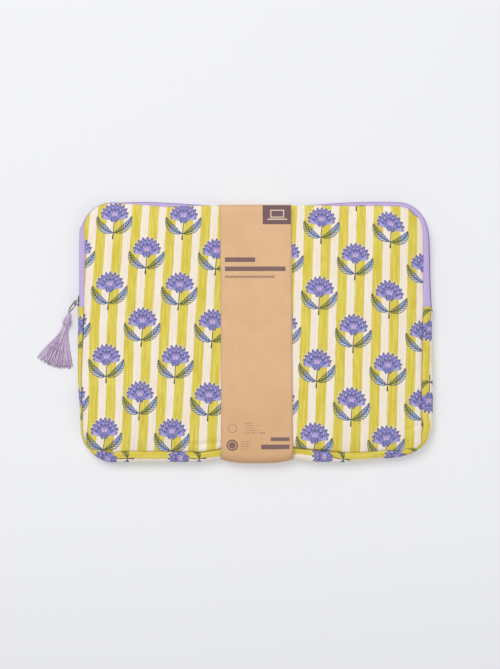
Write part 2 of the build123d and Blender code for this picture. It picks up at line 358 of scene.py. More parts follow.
def printed_cotton():
    """Yellow and cream stripes with flower sprigs, printed on a plain weave."""
    g = Graph("printed_cotton", Roughness=0.9, Sheen_Weight=0.12, Specular_IOR_Level=0.25)
    u, v = g.surface()
    wander = g.noise(u, v, 0.12, 3.0)
    x = u + (wander - 0.5) * 0.9
    y = v + (g.noise(v, u, 0.12, 2.0) - 0.5) * 0.9
    streak = g.noise(u, v * 0.06, 0.55, 3.0, 0.6)
    blotch = g.noise(u, v, 0.06, 3.0, 0.55)
    speckle = g.ramp(g.noise(u, v, 1.5, 1.0), 0.42, 0.62)

    phase = g.math("FLOORED_MODULO", (x - SPRIG_ACROSS) / STRIPE, 1.0)
    printed = g.ramp(phase, 0.0, PRINT_EDGE) * g.ramp(phase, YELLOW_SHARE + PRINT_EDGE, YELLOW_SHARE)
    yellow = g.mix(g.ramp(streak, 0.34, 0.66), srgb(219, 198, 72), srgb(233, 216, 102))
    yellow = g.mix(g.ramp(blotch, 0.5, 0.75) * 0.35, yellow, srgb(208, 184, 58))
    cream = g.mix(g.ramp(streak, 0.3, 0.7), srgb(247, 232, 213), srgb(251, 241, 227))
    ground = g.mix(printed, cream, yellow)

    px, py = sprig_place(g, x, y)
    colour = stem(g, px, py, ground)
    colour = leaves(g, px, py, colour, speckle)
    colour = bloom(g, px, py, colour, speckle * 0.55)

    threads = 2 * math.pi / THREAD_PITCH
    weave = g.math("SINE", u * threads) * g.math("SINE", v * threads)
    slub = g.noise(u * 0.25, v * 2.2, 0.8, 2.0) + g.noise(u * 2.2, v * 0.25, 0.8, 2.0)
    colour = g.mix(g.ramp(weave, -1.0, 1.0) * 0.07, colour, srgb(120, 104, 60))
    return g.finish(colour, weave * 0.5 + slub * 0.8, 0.10 * MM)


# ============================================================ the other materials


def woven(name, base, deep, pitch, rib_share, depth):
    """A plain-coloured cloth whose ribs run along its first coordinate."""
    g = Graph(name, Roughness=0.82, Sheen_Weight=0.2, Specular_IOR_Level=0.3)
    u, v = g.surface()
    ribs = g.math("SINE", v * (2 * math.pi / pitch))
    picks = g.math("SINE", u * (2 * math.pi / (pitch * 1.6)) + ribs * 0.8)
    thread = g.ramp(ribs * rib_share + picks * (1.0 - rib_share), -0.9, 0.9)
    mottle = g.noise(u, v, 0.25, 3.0)
    colour = g.mix(thread * 0.75 + mottle * 0.3, deep, base)
    return g.finish(colour, thread + mottle * 0.4, depth)


def foam():
    """Open, slightly uneven padding."""
    g = Graph("foam", Roughness=0.95)
    u, v = g.surface()
    cells = g.noise(u, v, 0.9, 4.0, 0.7)
    return g.finish(g.mix(cells, srgb(214, 212, 205), srgb(240, 239, 234)), cells, 0.5 * MM)


def nylon():
    """The coil's smooth monofilament."""
    g = Graph("zip_coil", Roughness=0.38, Specular_IOR_Level=0.5)
    u, v = g.surface()
    tint = g.noise(u, v, 0.4, 2.0)
    return g.finish(g.mix(tint, srgb(166, 148, 196), srgb(187, 169, 214)), tint, 0.02 * MM)


def nickel(name, tint):
    """Plated metal with fine polishing marks, duller where it is handled. Its tint is far darker than
    bare nickel: painted shade for the dark room that the metal reflects.
    """
    g = Graph(name, Metallic=1.0)
    x, y, z = g.position()
    marks = g.noise(x * 0.6 + z * 2.0, y * 3.0, 1.6, 3.0, 0.6)
    wear = g.noise(x + z, y - z, 0.5, 2.0)
    # painted shade: the dark tint stands in for the dark surroundings that the metal reflects
    colour = g.mix(g.ramp(wear, 0.3, 0.7), tint, srgb(168, 165, 162))
    return g.finish(colour, marks, 0.02 * MM, 0.16 + marks * 0.2)


def thread_material():
    """Twisted, slightly hairy tassel thread. Its second coordinate runs along the thread, and
    its first says which thread it is."""
    g = Graph("tassel_thread", Roughness=0.85, Sheen_Weight=0.3, Specular_IOR_Level=0.25)
    u, v = g.surface()
    twist = g.math("SINE", v * 5.2 + u * 6.283)
    number = g.math("FLOOR", u)
    own = g.ramp(g.noise(number * 7.3, number * 3.1, 1.0, 0.0), 0.3, 0.7)
    patch = g.ramp(g.noise(u * 0.3, v, 0.3, 2.0), 0.3, 0.7)
    shade = own * 0.5 + patch * 0.3 + g.ramp(twist, -1.0, 1.0) * 0.2
    colour = g.mix(shade, srgb(166, 140, 178), srgb(236, 217, 243))
    return g.finish(colour, twist, 0.12 * MM)


def bar(g, x, y, left, right, low, high, soft=0.22):
    """1 inside a rectangle, given in millimetres, and 0 outside."""
    across = g.ramp(x, left - soft, left + soft) * g.ramp(x, right + soft, right - soft)
    return across * g.ramp(y, low - soft, low + soft) * g.ramp(y, high + soft, high - soft)


def dashes(g, x, y, left, right, low, high, gaps):
    """A bar broken into uneven dashes, as a line of small print looks from a distance."""
    broken = g.ramp(g.noise(x, y * 0.0 + gaps, 0.45, 1.0), 0.36, 0.42)
    return bar(g, x, y, left, right, low, high, 0.3) * broken


def small_print(g, x, y):
    """A block of four lines with a longer one under it, and beside the disc four short ones."""
    lines = [(-12.8, 8.0, -100.6, -99.4, 3.0)]
    for row, (left, right) in enumerate([(-13.0, -4.0), (-12.8, 4.0), (-12.6, -3.0), (-12.4, 2.0)]):
        lines.append((left, right, -90.9 - 2.4 * row, -90.1 - 2.4 * row, 5.0 + row))
    for row in range(4):
        lines.append((-16.5, -6.5, -109.2 - 2.5 * row, -108.4 - 2.5 * row, 11.0 + row))
    return g.least(sum(dashes(g, x, y, *line) for line in lines), 1.0)


def laptop_icon(g, x, y):
    """A screen's outline over a bar for the keyboard."""
    screen = bar(g, x, y, 14.5, 28.5, 116.6, 124.6, 0.15) - bar(g, x, y, 15.6, 27.4, 117.6, 123.6, 0.15)
    return g.most(screen, bar(g, x, y, 11.5, 31.5, 114.4, 115.6, 0.15))


def card_marks(g, x, y, paper):
    """The card's plum print, which says nothing: a block with a laptop's outline, bars for the
    headings, and a disc, a ring and dashes. Also given is where the block is."""
    plum, soft_plum = srgb(118, 92, 96), srgb(150, 116, 100)
    block = bar(g, x, y, 6.8, 35.2, 109.9, 131.5)
    mark = g.radius(x + 25.0, y + 112.6)
    disc = g.ramp(mark, 6.0, 5.7) - g.ramp(mark, 4.4, 4.1) + g.ramp(mark, 3.6, 3.3)
    away = g.radius(x + 24.6, y + 95.8)
    ring = g.ramp(away, 4.6, 4.3) - g.ramp(away, 3.9, 3.6)
    headings = (
        (-31.5, -1.0, 71.8, 76.4),
        (-31.5, 29.5, 62.6, 67.2),
        (13.5, 32.5, -108.2, -104.6),
        (4.0, 32.5, -116.6, -111.8),
    )
    bars = g.most(disc, *(bar(g, x, y, *heading) for heading in headings))
    thin = g.most(ring, bar(g, x, y, -31.5, 18.5, 55.6, 58.0))
    colour = g.mix(block, paper, plum)
    colour = g.mix(laptop_icon(g, x, y) * 0.9, colour, srgb(240, 214, 184))
    colour = g.mix(bars * 0.92, colour, plum)
    colour = g.mix(thin * 0.7, colour, soft_plum)
    return g.mix(small_print(g, x, y) * 0.6, colour, soft_plum), block


def kraft_card():
    """Printed brown card with flecks and fibres, and painted shade that darkens it towards the bottom.
    """
    g = Graph("kraft_card", Roughness=0.88, Specular_IOR_Level=0.2)
    u, v = g.surface()
    fibre = g.noise(u * 2.4, v * 0.5, 0.9, 4.0, 0.65)
    cross = g.noise(u * 0.4, v * 2.4, 0.9, 4.0, 0.65)
    grain = g.ramp(fibre * 0.5 + cross * 0.5, 0.35, 0.65)
    cloud = g.noise(u, v, 0.035, 3.0)
    fleck = g.ramp(g.noise(u, v * 0.7, 1.4, 2.0, 0.7), 0.66, 0.74)
    paper = g.mix(grain, srgb(216, 174, 131), srgb(230, 191, 151))
    paper = g.mix(g.ramp(cloud, 0.35, 0.7) * 0.35, paper, srgb(214, 170, 128))
    paper = g.mix(fleck * 0.45, paper, srgb(168, 122, 82))
    # painted shade: the card darkens towards the bottom of its front, and on round the bottom bend
    paper = g.mix(g.ramp(v, -30.0, -128.0) * 0.35, paper, srgb(198, 152, 108))
    colour, block = card_marks(g, u, v, paper)
    height = fibre * 0.6 + cross * 0.4 - fleck * 0.3
    return g.finish(colour, height, 0.10 * MM, 0.9 - block * 0.12)


MATERIALS = {
    "printed_cotton": printed_cotton(),
    "lining": woven("lining", srgb(205, 190, 222), srgb(176, 160, 198), 0.7, 0.5, 0.08 * MM),
    "foam": foam(),
    "zip_tape": woven("zip_tape", srgb(206, 186, 230), srgb(180, 160, 212), 0.9, 0.75, 0.10 * MM),
    "zip_coil": nylon(),
    # the dark base colour is painted shade, for the dark room that the metal reflects
    "metal": nickel("nickel_plate", srgb(112, 108, 106)),
    "tassel_thread": thread_material(),
    "kraft_card": kraft_card(),
}


# ============================================================ meshes


def grid_faces(rows, columns, closed=False):
    """Quads between rows of points, each row with so many points. Closed rows join up."""
    faces = []
    for i in range(rows - 1):
        for j in range(columns if closed else columns - 1):
            k = (j + 1) % columns
            here, after = i * columns, (i + 1) * columns
            faces.append((here + j, here + k, after + k, after + j))
    return faces


def make_piece(name, slot, points, faces, cloth):
    """A smooth mesh with one coordinate pair for each point in its UV layer cloth."""
    mesh = bpy.data.meshes.new(name)
    mesh.from_pydata(np.asarray(points, float).reshape(-1, 3).tolist(), [], faces)
    corner = np.zeros(len(mesh.loops), np.int32)
    mesh.loops.foreach_get("vertex_index", corner)
    layer = mesh.uv_layers.new(name="cloth")
    layer.data.foreach_set("uv", np.asarray(cloth, np.float32).reshape(-1, 2)[corner].ravel())
    mesh.polygons.foreach_set("use_smooth", [True] * len(mesh.polygons))
    piece = put_in_scene(name, mesh)
    mesh.materials.append(MATERIALS[slot])
    piece["node"] = name
    return piece


def keep_modifiers(piece):
    """Replaces the mesh with what its modifiers make of it."""
    depsgraph = bpy.context.evaluated_depsgraph_get()
    mesh = bpy.data.meshes.new_from_object(piece.evaluated_get(depsgraph))
    piece.modifiers.clear()
    piece.data = mesh


def thicken(piece, thickness, offset=-1.0):
    """Gives a sheet its thickness, on the side away from its normals."""
    modifier = piece.modifiers.new("thickness", "SOLIDIFY")
    modifier.thickness = thickness
    modifier.offset = offset
    keep_modifiers(piece)


def tube(path, radius, sides=6):
    """Rings of points round a path of points, with their places on its surface: the turn, as a
    share of 0.9 mm, and the distance along."""
    path = np.asarray(path, float)
    ahead = np.gradient(path, axis=0)
    ahead /= np.linalg.norm(ahead, axis=1)[:, None]
    side = np.cross(ahead, [0.0, 0.0, 1.0])
    weak = np.linalg.norm(side, axis=1) < 0.2
    side[weak] = np.cross(ahead[weak], [0.0, 1.0, 0.0])
    side /= np.linalg.norm(side, axis=1)[:, None]
    over = np.cross(side, ahead)
    turn = np.arange(sides) * 2 * math.pi / sides
    radius = np.broadcast_to(np.asarray(radius, float), len(path))[:, None, None]
    rings = path[:, None] + radius * (
        np.cos(turn)[None, :, None] * side[:, None] + np.sin(turn)[None, :, None] * over[:, None]
    )
    round_it = turn / (2 * math.pi) * 0.9 * MM
    return rings, np.stack(np.broadcast_arrays(round_it, distances_along(path)[:, None]), -1)


def tube_piece(name, slot, tubes):
    """One mesh of several closed tubes, each with a whole number in its first coordinate."""
    points, cloth, faces, start = [], [], [], 0
    for number, (rings, place) in enumerate(tubes):
        rows, sides = rings.shape[:2]
        points.append(rings.reshape(-1, 3))
        cloth.append(place.reshape(-1, 2) + [number * MM, 0])
        faces += [tuple(start + i for i in f) for f in grid_faces(rows, sides, True)]
        faces.append(tuple(start + i for i in reversed(range(sides))))
        faces.append(tuple(start + (rows - 1) * sides + i for i in range(sides)))
        start += rows * sides
    return make_piece(name, slot, np.concatenate(points), faces, np.concatenate(cloth))


# ============================================================ the sleeve's rim

# Counter-clockwise from the bottom left corner: the corners' radii, and the widths between
# the rim and a seam, in millimetres, at each corner and the two ends of the side after it.
CORNER_RADII = (37 * MM, 41 * MM, 36 * MM, 36 * MM)
FRONT_SEAM = (1.6, 12.0, 9.0, 1.0, 12.6, 7.8, 6.6, 5.8, 2.8, 1.6, 8.6, 2.4)
BACK_SEAM = (5.0, 7.0, 7.0, 5.0, 8.0, 8.0, 6.0, 9.0, 9.0, 6.0, 8.0, 8.0)
FRONT_SEAM_Z = 13.9 * MM
BACK_SEAM_Z = 3.8 * MM


class Rim:
    """The sleeve's outline seen from above, counter-clockwise, with its outward normals."""

    def __init__(self):
        points, normals = [], []
        corners = [(-1, -1), (1, -1), (1, 1), (-1, 1)]
        for turn, ((sx, sy), radius) in enumerate(zip(corners, CORNER_RADII)):
            centre = np.array([sx * (HALF_WIDTH - radius), sy * (HALF_HEIGHT - radius)])
            for k in range(33):
                a = math.pi + (turn + k / 32) * math.pi / 2
                normals.append((math.cos(a), math.sin(a)))
                points.append(centre + radius * np.array(normals[-1]))
        points.append(points[0])
        normals.append(normals[0])
        self.points, self.normals = np.array(points), np.array(normals)
        self.place = distances_along(self.points)
        self.length = self.place[-1]
        self.marks = [self.place[33 * turn + 16] for turn in range(4)]
        self.stops = []
        for turn in range(4):
            start, end = self.place[33 * turn + 32], self.place[33 * turn + 33]
            self.stops += [self.marks[turn], start + 4 * MM, end - 4 * MM]

    def plain(self, place):
        """(points, outward normals) of the plain rounded rectangle."""
        place = np.mod(place, self.length)
        point = np.stack([np.interp(place, self.place, self.points[:, i]) for i in (0, 1)], 1)
        normal = np.stack([np.interp(place, self.place, self.normals[:, i]) for i in (0, 1)], 1)
        return point, normal / np.linalg.norm(normal, axis=1)[:, None]

    def at(self, place):
        """(points, outward normals) at distances round the rim, with the soft shape's own
        swell: full beside the band, drawn in by it, and slack at two corners."""
        point, normal = self.plain(place)
        x, y = point[:, 0] / MM, point[:, 1] / MM
        beside = np.abs(x)
        top = 0.6 + 4.2 * smoothstep(28, 112, beside)
        bottom = -0.4 - 2.6 * smoothstep(62, 34, beside) - 5.0 * smoothstep(86, 150, x)
        left = 0.1 - 0.5 * smoothstep(-40, 0, y) + 1.2 * smoothstep(0, 60, y)
        left -= 3.6 * smoothstep(-30, -105, y)
        right = 0.3 - 3.6 * smoothstep(-40, 110, y) - 2.0 * smoothstep(32, 0, y)
        swell = (
            top * np.maximum(normal[:, 1], 0) ** 2
            + bottom * np.maximum(-normal[:, 1], 0) ** 2
            + left * np.maximum(-normal[:, 0], 0) ** 2
            + right * np.maximum(normal[:, 0], 0) ** 2
            + 0.25 * waves(place, (47 * MM, 83 * MM, 131 * MM), 3)
        )
        return point + normal * swell[:, None] * MM, normal

    def inset(self, place, front):
        """How far the front's or the back's seam lies inside the rim. The band draws the
        zipped top edge flat, and some slack of the front is pulled up beside it below."""
        widths = FRONT_SEAM if front else BACK_SEAM
        near = np.linspace(-8 * MM, 8 * MM, 9)[:, None] + np.asarray(place)[None]
        width = np.interp(np.mod(near, self.length), self.stops, widths, period=self.length)
        width = width.mean(0)
        if front:
            point, _ = self.plain(place)
            x, y = point[:, 0] / MM, point[:, 1] / MM
            drawn = smoothstep(36, 104, np.abs(x))
            slack = 2.6 * np.exp(-(((x + 92) / 30) ** 2))
            width = np.where(y > 110, width * drawn + 1.2 * (1 - drawn) + slack, width)
            width += np.where(y < -110, 3.6 * np.exp(-(((x - 54) / 34) ** 2)), 0)
            turn = np.mod(place, self.length)
            for corner, beyond, wider, reach in ((0, 12, 4.0, 9), (1, -12, 2.4, 9), (1, 15, 3.0, 10)):
                away = (turn - self.marks[corner]) / MM - beyond
                width += wider * np.exp(-((away / reach) ** 2))
        return width * MM

    def seam(self, place, front, extra=0.0):
        point, normal = self.at(place)
        return point - normal * (self.inset(place, front) + extra)[:, None]

    def sides(self, across, along):
        """Places between the middles of the corners, at the given shares of the bottom and
        the top, and of the two sides."""
        ends = [*self.marks, self.marks[0] + self.length]
        parts = (across, along, 1 - across[::-1], 1 - along[::-1])
        return [a + (b - a) * part for a, b, part in zip(ends[:-1], ends[1:], parts)]

    def crossing(self, y, right):
        """The place where a straight side is at height y."""
        corner_end = 33 * (1 if right else 3) + 32
        climb = y - self.points[corner_end, 1]
        return self.place[corner_end] + (climb if right else -climb)


rim = Rim()


def pinch(x):
    """0 under the card band and 1 well away from it."""
    return smoothstep(BAND_HALF - 6 * MM, BAND_HALF + 34 * MM, np.abs(x))


def proud(x, y):
    """1 where the front stands up over the gusset beside the band, and 0 away from there."""
    x, y = x / MM, y / MM
    right = smoothstep(34, 40, x) * smoothstep(96, 66, x)
    left = 0.5 * smoothstep(-34, -40, x) * smoothstep(-80, -50, x)
    return (right + left) * smoothstep(-60, -110, y)


# ============================================================ the panels

BEHIND_ZIP = 3.6 * MM  # from the rim in to the inner side of the zip
CLOTH = 0.5 * MM  # how thick the printed cloth is
LINING = 0.3 * MM
LINING_GAP = 5.2 * MM  # how far a lining lies inside its outer cloth
LINING_INSET = 1.6 * MM  # of its edge from the seam
PAD_INSET = 2.4 * MM  # of the padding's edge from the seam
PAD_MIDDLE = 3.2 * MM  # how far the padding's middle lies inside the outer cloth
PAD_HALF = 1.3 * MM  # half the padding's thickness
SIM_CELL = 3.6 * MM  # of the grid that the cloth is simulated on


def shares(length, cells):
    """Positions from 0 to 1 along a length, close together near its two ends."""
    edge = np.array([0, 0.3, 0.7, 1.2, 1.9, 2.9, 4.3]) * MM / length
    middle = np.linspace(edge[-1], 1 - edge[-1], cells - 2 * len(edge) + 3)
    return np.concatenate([edge[:-1], middle, 1 - edge[-2::-1]])


ACROSS = shares(343 * MM, 150)
ALONG = shares(248 * MM, 110)


def panel_grid(front, extra=0.0):
    """A grid of points that fills a seam's outline, bottom row first, left to right."""
    bottom, right, top, left = (rim.seam(p, front, extra) for p in rim.sides(ACROSS, ALONG))
    top, left = top[::-1], left[::-1]
    u, v = ACROSS[None, :, None], ALONG[:, None, None]
    sides = (1 - v) * bottom[None] + v * top[None] + (1 - u) * left[:, None] + u * right[:, None]
    corners = (1 - u) * (1 - v) * bottom[0] + u * (1 - v) * bottom[-1]
    return sides - corners - (1 - u) * v * top[0] - u * v * top[-1]


def seam_distance(points, front, extra=0.0):
    """Each point's distance from a seam, less than 0 outside it, and the place on the rim of
    the nearest part of it."""
    places = np.linspace(0, rim.length, 1200, endpoint=False)
    seam = rim.seam(places, front, extra)
    ahead = np.roll(seam, -1, 0) - np.roll(seam, 1, 0)
    gap = np.linalg.norm(ahead, axis=1)[:, None] / 2
    ahead /= 2 * gap
    flat = points.reshape(-1, 2)
    distance, nearest = np.empty(len(flat)), np.empty(len(flat))
    for start in range(0, len(flat), 2000):
        part = slice(start, start + 2000)
        away = flat[part, None] - seam[None]
        best = (away**2).sum(2).argmin(1)
        delta = flat[part] - seam[best]
        slide = np.clip((delta * ahead[best]).sum(1, keepdims=True), -gap[best], gap[best])
        left = ahead[best, 0] * delta[:, 1] - ahead[best, 1] * delta[:, 0]
        away = np.linalg.norm(delta - ahead[best] * slide, axis=1)
        distance[part] = away * np.where(left < -1e-7, -1, 1)
        nearest[part] = places[best] + slide[:, 0]
    return distance.reshape(points.shape[:2]), nearest.reshape(points.shape[:2])


def puckers(distance, place, seed, reach=11 * MM):
    """The small gathers that a seam pulls in the cloth beside it, strongest near it."""
    lengths = (6.1 * MM, 8.3 * MM, 11.7 * MM, 17 * MM, 29 * MM)
    strength = 0.55 + 0.45 * waves(place, (83 * MM, 127 * MM, 211 * MM), seed + 1)
    shape = np.exp(-distance / reach) * (1 - np.exp(-distance / (1.6 * MM)))
    return waves(place, lengths, seed) * strength * shape


CREASES = (  # middle, angle in degrees, half length, half width, depth
    (150, 24, 2, 42, 4.5, 0.8),
    (120, 15, -4, 26, 3.5, 0.4),
    (-50, -111, 3, 17, 1.5, 2.4),
    (-130, -100, 25, 12, 3.0, 0.4),
    (154, -96, 18, 8, 1.5, 1.5),
    (163, -70, -10, 7, 1.8, 0.7),
    (150, -110, 30, 9, 1.8, 0.6),
    (-161, 88, -8, 6, 1.6, 0.6),
    (-166, -40, 12, 7, 1.8, 0.5),
)


def creases(x, y):
    """The depth of the front's few soft creases."""
    depth = 0.0
    for cx, cy, angle, length, width, deep in CREASES:
        c, s = math.cos(math.radians(angle)), math.sin(math.radians(angle))
        along = (x / MM - cx) * c + (y / MM - cy) * s
        off = (y / MM - cy) * c - (x / MM - cx) * s
        depth = depth + deep * np.exp(-((along / length) ** 4) - (off / width) ** 2)
    return depth * MM


def front_height(points, distance, place):
    """The padded front's height: a rolled edge beside the seam, a shoulder and a crown."""
    x, y = points[..., 0], points[..., 1]
    free = pinch(x)
    crown = (18.4 + 2.5 * free) * MM
    roll = (2.2 + 1.6 * proud(x, y)) * MM * (1 - np.exp(-distance / (0.7 * MM)))
    shoulder = 1 - 0.4 * np.exp(-distance / (5 * MM)) - 0.6 * np.exp(-distance / (17 * MM))
    z = FRONT_SEAM_Z + roll + (crown - 2.2 * MM - FRONT_SEAM_Z) * shoulder
    z += 1.3 * MM * puckers(distance, place, 11) * (0.25 + 0.75 * free)
    z += 0.25 * MM * free * waves(x + 0.35 * y, (67 * MM, 43 * MM, 95 * MM), 5)
    z += 0.20 * MM * free * waves(y - 0.2 * x, (39 * MM, 71 * MM, 110 * MM), 6)
    return z - creases(x, y)


def back_height(points, distance, place):
    """The back's height: flat on the surface, and drawn up to its seam at the rim."""
    rest = (1.1 - 0.75 * pinch(points[..., 0])) * MM
    lift = 0.6 * np.exp(-distance / (2.6 * MM)) + 0.4 * np.exp(-distance / (9 * MM))
    z = rest + (BACK_SEAM_Z - rest) * lift
    return np.maximum(z - 0.9 * MM * puckers(distance, place, 23), rest)


def print_place(x, y):
    """Where a point of the front lies on its printed cloth. The stripes lean to the right at
    the top, less so towards the right, where the rows of flowers drop. The cloth is pulled
    down a little below the middle, in at the lower left and together along the right."""
    x, y = x * 1.006, y * 1.006
    across = x - y * (0.0437 - 0.15 * x)
    across -= 5.2 * MM * smoothstep(-0.06, -0.165, x) * smoothstep(0.02, -0.095, y)
    along = y + x * (0.030 + 0.081 * x) + 0.043 * np.maximum(0.045 - y, 0)
    along += 0.058 * (y + 0.026) * smoothstep(0.125, 0.165, x)
    return np.stack([across, along], -1)


def with_hem(grid, drop, inward):
    """Adds a row of points all round a grid, for its turned-in edge below it."""
    lowered = grid.copy()
    towards = grid[..., :2].mean((0, 1)) - grid[..., :2]
    towards /= np.linalg.norm(towards, axis=2)[..., None] + 1e-9
    lowered[..., :2] += towards * inward
    lowered[..., 2] += drop
    wide = np.pad(lowered, ((1, 1), (1, 1), (0, 0)), mode="edge")
    wide[1:-1, 1:-1] = grid
    return wide


def simulated_rise(slack=0.005, pressure=0.5, limit=1.3 * MM, frames=16):
    """How a slightly loose cloth over the padded front settles, held at its seam and by the
    band: simulated on an even grid, and given as a function of x and y."""
    xs = np.arange(-HALF_WIDTH, HALF_WIDTH, SIM_CELL)
    ys = np.arange(-HALF_HEIGHT, HALF_HEIGHT, SIM_CELL)
    flat = np.stack(np.meshgrid(xs, ys), -1)
    distance, place = seam_distance(flat, True)
    z = front_height(flat, np.maximum(distance, 0), place)
    points = np.concatenate([flat, z[..., None]], 2).reshape(-1, 3)
    mesh = bpy.data.meshes.new("cloth_study")
    mesh.from_pydata(points.tolist(), [], grid_faces(*z.shape))
    study = put_in_scene("cloth_study", mesh)
    held = (distance < 3 * MM) | (np.abs(flat[..., 0]) < BAND_HALF + 2 * MM)
    group = study.vertex_groups.new(name="held")
    group.add(np.flatnonzero(held).tolist(), 1.0, "REPLACE")
    modifier = study.modifiers.new("cloth", "CLOTH")
    modifier.collision_settings.use_collision = False
    modifier.point_cache.frame_end = frames
    settings = modifier.settings
    settings.quality = 5
    settings.mass = 0.05
    settings.tension_stiffness = settings.compression_stiffness = 20
    settings.shear_stiffness = 8
    settings.bending_stiffness = 0.02
    settings.tension_damping = settings.compression_damping = 8
    settings.use_pressure = True
    settings.uniform_pressure_force = pressure
    settings.shrink_min = -slack
    settings.vertex_group_mass = "held"
    settings.effector_weights.gravity = 0.0
    for number in range(1, frames + 1):
        bpy.context.scene.frame_set(number)
        depsgraph = bpy.context.evaluated_depsgraph_get()
    settled = np.empty(points.size)
    study.evaluated_get(depsgraph).data.vertices.foreach_get("co", settled)
    bpy.data.objects.remove(study)
    bpy.context.scene.frame_set(1)
    rise = settled.reshape(points.shape)[:, 2].reshape(z.shape) - z
    rise = limit * np.tanh(rise / limit / 2) * smoothstep(0, 8 * MM, distance)

    def sample(x, y):
        column = np.clip((x - xs[0]) / SIM_CELL, 0, len(xs) - 1.001)
        row = np.clip((y - ys[0]) / SIM_CELL, 0, len(ys) - 1.001)
        i, j = row.astype(int), column.astype(int)
        u, v = column - j, row - i
        low = rise[i, j] * (1 - u) + rise[i, j + 1] * u
        return low * (1 - v) + (rise[i + 1, j] * (1 - u) + rise[i + 1, j + 1] * u) * v

    return sample


front_rise = simulated_rise()


def settled_front(points, distance, place):
    """The front's height with its cloth settled."""
    return front_height(points, distance, place) + front_rise(points[..., 0], points[..., 1])


def panel_piece(name, front, height, facing_up, hem_drop, overhang=0.0, is_lining=False):
    """One cloth panel of the sleeve, as a sheet with its edge turned in and its thickness. An
    overhang is how far its rolled edge stands out over its seam along the bottom. A lining's
    edge runs out to the back of the zip."""
    extra = LINING_INSET if is_lining else 0.0
    flat = panel_grid(front, extra)
    distance, place = seam_distance(flat, front, extra)
    distance = np.maximum(distance, 0)
    z = height(flat, distance, place)
    outward = rim.plain(place.ravel())[1].reshape(flat.shape)
    roll = np.exp(-distance / (1.8 * MM)) * (1 - np.exp(-distance / (0.4 * MM)))
    roll *= np.maximum(-outward[..., 1], 0)
    roll *= smoothstep(BAND_HALF, BAND_HALF + 6 * MM, np.abs(flat[..., 0]))
    flat = flat + outward * (overhang * roll)[..., None]
    grid = with_hem(np.concatenate([flat, z[..., None]], 2), hem_drop, 0.5 * MM)
    if is_lining:
        hem = np.ones(grid.shape[:2], bool)
        hem[1:-1, 1:-1] = False
        point, normal = rim.at(np.pad(place, 1, mode="edge")[hem])
        grid[hem, :2] = point - normal * BEHIND_ZIP
    cloth = print_place(grid[..., 0] * (1 if facing_up else -1), grid[..., 1])
    faces = grid_faces(*grid.shape[:2])
    if not facing_up:
        faces = [f[::-1] for f in faces]
    piece = make_piece(name, "lining" if is_lining else "printed_cotton", grid, faces, cloth)
    thicken(piece, LINING if is_lining else CLOTH)
    return piece


def lining_height(height, side):
    """The height of the lining on one side of the pocket, 1 for the front's and -1 for the
    back's: inside its panel, and never over the middle."""
    def inside(points, distance, place):
        z = height(points, distance, place) - side * LINING_GAP
        return MIDDLE + side * np.maximum(side * (z - MIDDLE), 0.5 * MM)
    return inside


front_panel = panel_piece("front_panel", True, settled_front, True, -1.6 * MM, 2.0 * MM)
back_panel = panel_piece("back_panel", False, back_height, False, 1.6 * MM)
front_lining = panel_piece(
    "front_lining", True, lining_height(settled_front, 1), False, 0.9 * MM, is_lining=True
)
back_lining = panel_piece(
    "back_lining", False, lining_height(back_height, -1), True, -0.9 * MM, is_lining=True
)


def padding_piece(name, front, height):
    """A slab of padding between a panel and its lining, with round edges."""
    flat = panel_grid(front, PAD_INSET)
    distance, place = seam_distance(flat, front, PAD_INSET)
    distance = np.maximum(distance, 0)
    z = height(flat, distance + PAD_INSET, place)
    sign = -1 if front else 1
    half = PAD_HALF * (1 - np.exp(-distance / (1.4 * MM)))
    levels = [z + sign * (PAD_MIDDLE - half), z + sign * (PAD_MIDDLE + half)]
    points = [np.concatenate([flat, level[..., None]], 2).reshape(-1, 3) for level in levels]
    rows, columns = flat.shape[:2]
    count = rows * columns
    near = grid_faces(rows, columns)
    faces = near + [tuple(count + i for i in reversed(f)) for f in near]
    edge = [*range(columns), *range(2 * columns - 1, count, columns)]
    edge += [*range(count - 2, count - columns - 1, -1), *range(count - 2 * columns, 0, -columns)]
    for a, b in zip(edge, edge[1:] + edge[:1]):
        faces.append((b, a, count + a, count + b))
    if not front:
        faces = [f[::-1] for f in faces]
    points = np.concatenate(points)
    return make_piece(name, "foam", points, faces, points[:, :2])


front_padding = padding_piece("front_padding", True, settled_front)
back_padding = padding_piece("back_padding", False, back_height)


# ============================================================ the gusset

GUSSET_START = rim.crossing(ZIP_END, False)
GUSSET_END = rim.crossing(ZIP_END, True) + rim.length
AXIS_DISTANCE = 8.8 * MM  # of the line of flowers on the gusset, from its front seam
FIRST_FLOWER = 24.8 * MM  # from the gusset's end on the right
GUSSET_STRETCH = 1.022


